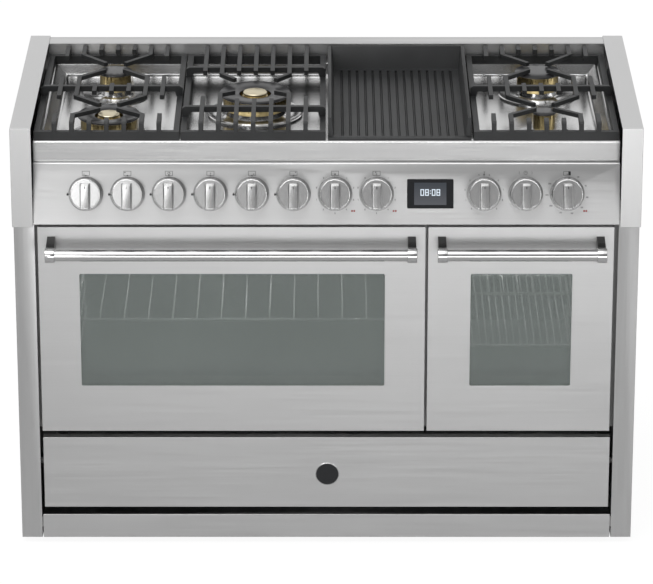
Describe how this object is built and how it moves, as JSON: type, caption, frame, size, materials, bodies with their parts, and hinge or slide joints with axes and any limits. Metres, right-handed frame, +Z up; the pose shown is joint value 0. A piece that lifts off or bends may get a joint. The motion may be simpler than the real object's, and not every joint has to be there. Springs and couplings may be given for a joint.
{
  "type": "range cooker",
  "caption": "Free-standing range cooker in brushed steel with drop-down oven doors, gas burners under cast-iron pan supports, a ribbed griddle, a slanted knob panel and a storage drawer.",
  "frame": {"origin": "on the floor, under the middle of the part's bounding box", "axes": "+X to the right as seen from the front, +Y from front to back, +Z up"},
  "size_m": [1.2, 0.631, 0.872],
  "materials": {
    "body_steel": "brushed stainless steel, horizontal grain",
    "inner_steel": "plain steel sheet",
    "hob_steel": "bright satin stainless steel",
    "black_enamel": "dark vitreous enamel, semi-gloss",
    "wire_chrome": "bright chromed wire",
    "element_metal": "dark oxidised tube",
    "seal_rubber": "matt black seal",
    "foot_plastic": "matt black",
    "burner_aluminium": "cast and rolled aluminium, satin",
    "burner_brass": "machined brass",
    "plug_ceramic": "glazed white ceramic",
    "display_glass": "gloss black glass front",
    "cast_iron": "matt black enamelled cast iron",
    "door_glass": "tinted semi-reflective glass",
    "handle_chrome": "polished steel",
    "knob_metal": "satin and polished metal"
  },
  "bodies": {
    "cooker_body": {"side_panel_left": "body_steel", "side_panel_right": "body_steel", "back_panel": "inner_steel", "base_pan": "inner_steel", "plinth": "body_steel", "feet": "foot_plastic", "hob_top": "hob_steel", "control_panel": "body_steel", "oven_surround": "inner_steel", "large_oven_cavity": "black_enamel", "small_oven_cavity": "black_enamel", "shelf_ladders": "wire_chrome", "oven_shelves": "wire_chrome", "heating_elements": "element_metal", "fan_covers": "black_enamel", "door_seals": "seal_rubber", "burner_cups": "burner_aluminium", "burner_crowns": "burner_brass", "burner_caps": "black_enamel", "wok_centre_caps": "burner_brass", "spark_plugs": "plug_ceramic", "gas_manifold": "burner_aluminium", "gas_taps": "burner_brass", "selector_switches": "foot_plastic", "display_unit": "display_glass", "drawer_runners": "burner_aluminium"},
    "large_door": {"large_door_panel": "body_steel", "large_door_glass": "door_glass", "large_door_liner": "inner_steel", "large_door_handle": "handle_chrome", "large_door_hinges": "burner_aluminium"},
    "small_door": {"small_door_panel": "body_steel", "small_door_glass": "door_glass", "small_door_liner": "inner_steel", "small_door_handle": "handle_chrome", "small_door_hinges": "burner_aluminium"},
    "storage_drawer": {"drawer_front": "body_steel", "drawer_box": "burner_aluminium"},
    "left_support": {"pan_support_left": "cast_iron"},
    "middle_support": {"pan_support_middle": "cast_iron"},
    "right_support": {"pan_support_right": "cast_iron"},
    "griddle": {"griddle_plate": "cast_iron"},
    "gas_tap_shaft_1": {"gas_spindle_1": "burner_aluminium"},
    "gas_tap_knob_1": {"gas_knob_1": "knob_metal"},
    "gas_tap_shaft_2": {"gas_spindle_2": "burner_aluminium"},
    "gas_tap_knob_2": {"gas_knob_2": "knob_metal"},
    "gas_tap_shaft_3": {"gas_spindle_3": "burner_aluminium"},
    "gas_tap_knob_3": {"gas_knob_3": "knob_metal"},
    "gas_tap_shaft_4": {"gas_spindle_4": "burner_aluminium"},
    "gas_tap_knob_4": {"gas_knob_4": "knob_metal"},
    "gas_tap_shaft_5": {"gas_spindle_5": "burner_aluminium"},
    "gas_tap_knob_5": {"gas_knob_5": "knob_metal"},
    "gas_tap_shaft_6": {"gas_spindle_6": "burner_aluminium"},
    "gas_tap_knob_6": {"gas_knob_6": "knob_metal"},
    "griddle_knob_front_body": {"griddle_knob_front": "knob_metal"},
    "griddle_knob_rear_body": {"griddle_knob_rear": "knob_metal"},
    "thermostat_knob_body": {"thermostat_knob": "knob_metal"},
    "function_knob_body": {"function_knob": "knob_metal"},
    "timer_shaft": {"timer_spindle": "burner_aluminium"},
    "timer_knob_body": {"timer_knob": "knob_metal"}
  },
  "joints": [
    {"name": "large_door_hinge", "type": "hinge", "parent": "cooker_body", "child": "large_door", "pos_m": [-0.1822, -0.2335, 0.248], "axis": [1, 0, 0], "range_deg": [0, 90], "stiffness_Nm_per_rad": 5, "springref_deg": -34.38},
    {"name": "small_door_hinge", "type": "hinge", "parent": "cooker_body", "child": "small_door", "pos_m": [0.37375, -0.2335, 0.248], "axis": [1, 0, 0], "range_deg": [0, 90], "stiffness_Nm_per_rad": 2.5, "springref_deg": -34.38},
    {"name": "drawer_slide", "type": "slide", "parent": "cooker_body", "child": "storage_drawer", "axis": [0, -1, 0], "range_m": [0, 0.34]},
    {"name": "left_support_lift", "type": "slide", "parent": "cooker_body", "child": "left_support", "axis": [0, 0, 1], "range_m": [0, 0.2]},
    {"name": "middle_support_lift", "type": "slide", "parent": "cooker_body", "child": "middle_support", "axis": [0, 0, 1], "range_m": [0, 0.2]},
    {"name": "right_support_lift", "type": "slide", "parent": "cooker_body", "child": "right_support", "axis": [0, 0, 1], "range_m": [0, 0.2]},
    {"name": "griddle_lift", "type": "slide", "parent": "cooker_body", "child": "griddle", "axis": [0, 0, 1], "range_m": [0, 0.2]},
    {"name": "gas_tap_1_turn", "type": "hinge", "parent": "cooker_body", "child": "gas_tap_shaft_1", "pos_m": [-0.459, -0.262, 0.734], "axis": [0, -0.9545, 0.2983], "range_deg": [0, 210]},
    {"name": "gas_tap_1_push", "type": "slide", "parent": "gas_tap_shaft_1", "child": "gas_tap_knob_1", "axis": [0, 0.9545, -0.2983], "range_m": [0, 0.003], "stiffness_N_per_m": 1000, "springref_m": -0.003},
    {"name": "gas_tap_2_turn", "type": "hinge", "parent": "cooker_body", "child": "gas_tap_shaft_2", "pos_m": [-0.3798, -0.262, 0.734], "axis": [0, -0.9545, 0.2983], "range_deg": [0, 210]},
    {"name": "gas_tap_2_push", "type": "slide", "parent": "gas_tap_shaft_2", "child": "gas_tap_knob_2", "axis": [0, 0.9545, -0.2983], "range_m": [0, 0.003], "stiffness_N_per_m": 1000, "springref_m": -0.003},
    {"name": "gas_tap_3_turn", "type": "hinge", "parent": "cooker_body", "child": "gas_tap_shaft_3", "pos_m": [-0.3006, -0.262, 0.734], "axis": [0, -0.9545, 0.2983], "range_deg": [0, 210]},
    {"name": "gas_tap_3_push", "type": "slide", "parent": "gas_tap_shaft_3", "child": "gas_tap_knob_3", "axis": [0, 0.9545, -0.2983], "range_m": [0, 0.003], "stiffness_N_per_m": 1000, "springref_m": -0.003},
    {"name": "gas_tap_4_turn", "type": "hinge", "parent": "cooker_body", "child": "gas_tap_shaft_4", "pos_m": [-0.2214, -0.262, 0.734], "axis": [0, -0.9545, 0.2983], "range_deg": [0, 210]},
    {"name": "gas_tap_4_push", "type": "slide", "parent": "gas_tap_shaft_4", "child": "gas_tap_knob_4", "axis": [0, 0.9545, -0.2983], "range_m": [0, 0.003], "stiffness_N_per_m": 1000, "springref_m": -0.003},
    {"name": "gas_tap_5_turn", "type": "hinge", "parent": "cooker_body", "child": "gas_tap_shaft_5", "pos_m": [-0.1422, -0.262, 0.734], "axis": [0, -0.9545, 0.2983], "range_deg": [0, 210]},
    {"name": "gas_tap_5_push", "type": "slide", "parent": "gas_tap_shaft_5", "child": "gas_tap_knob_5", "axis": [0, 0.9545, -0.2983], "range_m": [0, 0.003], "stiffness_N_per_m": 1000, "springref_m": -0.003},
    {"name": "gas_tap_6_turn", "type": "hinge", "parent": "cooker_body", "child": "gas_tap_shaft_6", "pos_m": [-0.063, -0.262, 0.734], "axis": [0, -0.9545, 0.2983], "range_deg": [0, 210]},
    {"name": "gas_tap_6_push", "type": "slide", "parent": "gas_tap_shaft_6", "child": "gas_tap_knob_6", "axis": [0, 0.9545, -0.2983], "range_m": [0, 0.003], "stiffness_N_per_m": 1000, "springref_m": -0.003},
    {"name": "griddle_knob_front_turn", "type": "hinge", "parent": "cooker_body", "child": "griddle_knob_front_body", "pos_m": [0.0162, -0.262, 0.734], "axis": [0, -0.9545, 0.2983], "range_deg": [-300, 0]},
    {"name": "griddle_knob_rear_turn", "type": "hinge", "parent": "cooker_body", "child": "griddle_knob_rear_body", "pos_m": [0.0954, -0.262, 0.734], "axis": [0, -0.9545, 0.2983], "range_deg": [-300, 0]},
    {"name": "thermostat_knob_turn", "type": "hinge", "parent": "cooker_body", "child": "thermostat_knob_body", "pos_m": [0.3006, -0.262, 0.734], "axis": [0, -0.9545, 0.2983], "range_deg": [-300, 0]},
    {"name": "function_knob_turn", "type": "hinge", "parent": "cooker_body", "child": "function_knob_body", "pos_m": [0.459, -0.262, 0.734], "axis": [0, -0.9545, 0.2983], "range_deg": [-300, 0]},
    {"name": "timer_turn", "type": "hinge", "parent": "cooker_body", "child": "timer_shaft", "pos_m": [0.3798, -0.262, 0.734], "axis": [0, -0.9545, 0.2983], "continuous": true},
    {"name": "timer_push", "type": "slide", "parent": "timer_shaft", "child": "timer_knob_body", "axis": [0, 0.9545, -0.2983], "range_m": [0, 0.002], "stiffness_N_per_m": 1000, "springref_m": -0.003}
  ]
}
